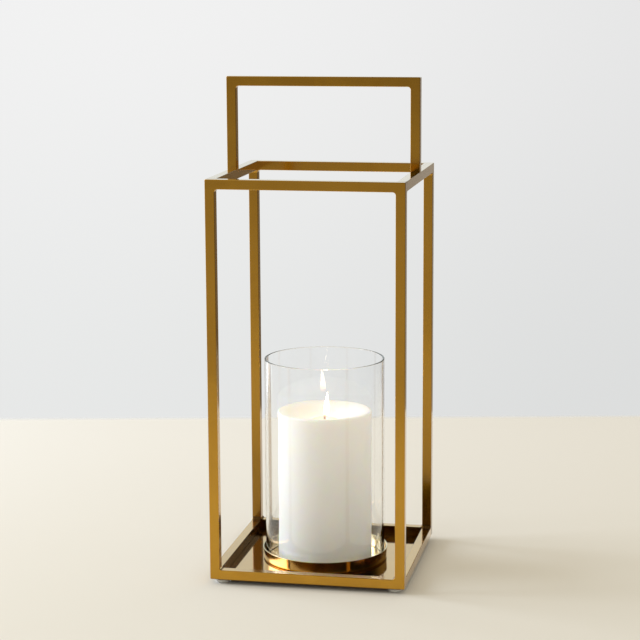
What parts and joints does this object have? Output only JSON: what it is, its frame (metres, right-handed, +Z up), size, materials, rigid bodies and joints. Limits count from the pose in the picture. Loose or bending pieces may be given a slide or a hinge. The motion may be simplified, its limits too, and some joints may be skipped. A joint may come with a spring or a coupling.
{
  "type": "hurricane candle lantern",
  "caption": "Open square-bar brass lantern with a fixed bail handle, a mirror base plate, a round cup, a clear glass chimney and a white pillar candle.",
  "frame": {"origin": "on the standing surface, under the middle of the base plate", "axes": "+Z up, +X to the right seen from the front, front at -Y; the grip bar runs along X"},
  "size_m": [0.163, 0.163, 0.4152],
  "materials": {
    "satin_brass": "satin",
    "polished_brass": "polished",
    "clear_glass": "clear",
    "wax": "soft satin wax",
    "wick_cotton": "charred cotton",
    "clear_rubber": "clear gloss"
  },
  "bodies": {
    "frame": {"front_left_post": "satin_brass", "front_right_post": "satin_brass", "front_bottom_rail": "satin_brass", "front_top_rail": "satin_brass", "back_left_post": "satin_brass", "back_right_post": "satin_brass", "back_bottom_rail": "satin_brass", "back_top_rail": "satin_brass", "left_bottom_rail": "satin_brass", "left_top_rail": "satin_brass", "right_bottom_rail": "satin_brass", "right_top_rail": "satin_brass", "handle_left_leg": "satin_brass", "handle_right_leg": "satin_brass", "handle_grip_bar": "satin_brass", "base_plate": "polished_brass", "front_left_foot": "clear_rubber", "front_right_foot": "clear_rubber", "back_left_foot": "clear_rubber", "back_right_foot": "clear_rubber", "candle_cup": "polished_brass"},
    "chimney": {"glass_chimney": "clear_glass"},
    "candle": {"pillar_candle": "wax", "candle_wick": "wick_cotton"}
  },
  "joints": [
    {"name": "chimney_lift", "type": "slide", "parent": "frame", "child": "chimney", "axis": [0, 0, 1], "range_m": [0, 0.2258]},
    {"name": "candle_lift", "type": "slide", "parent": "frame", "child": "candle", "axis": [0, 0, 1], "range_m": [0, 0.2723]}
  ]
}
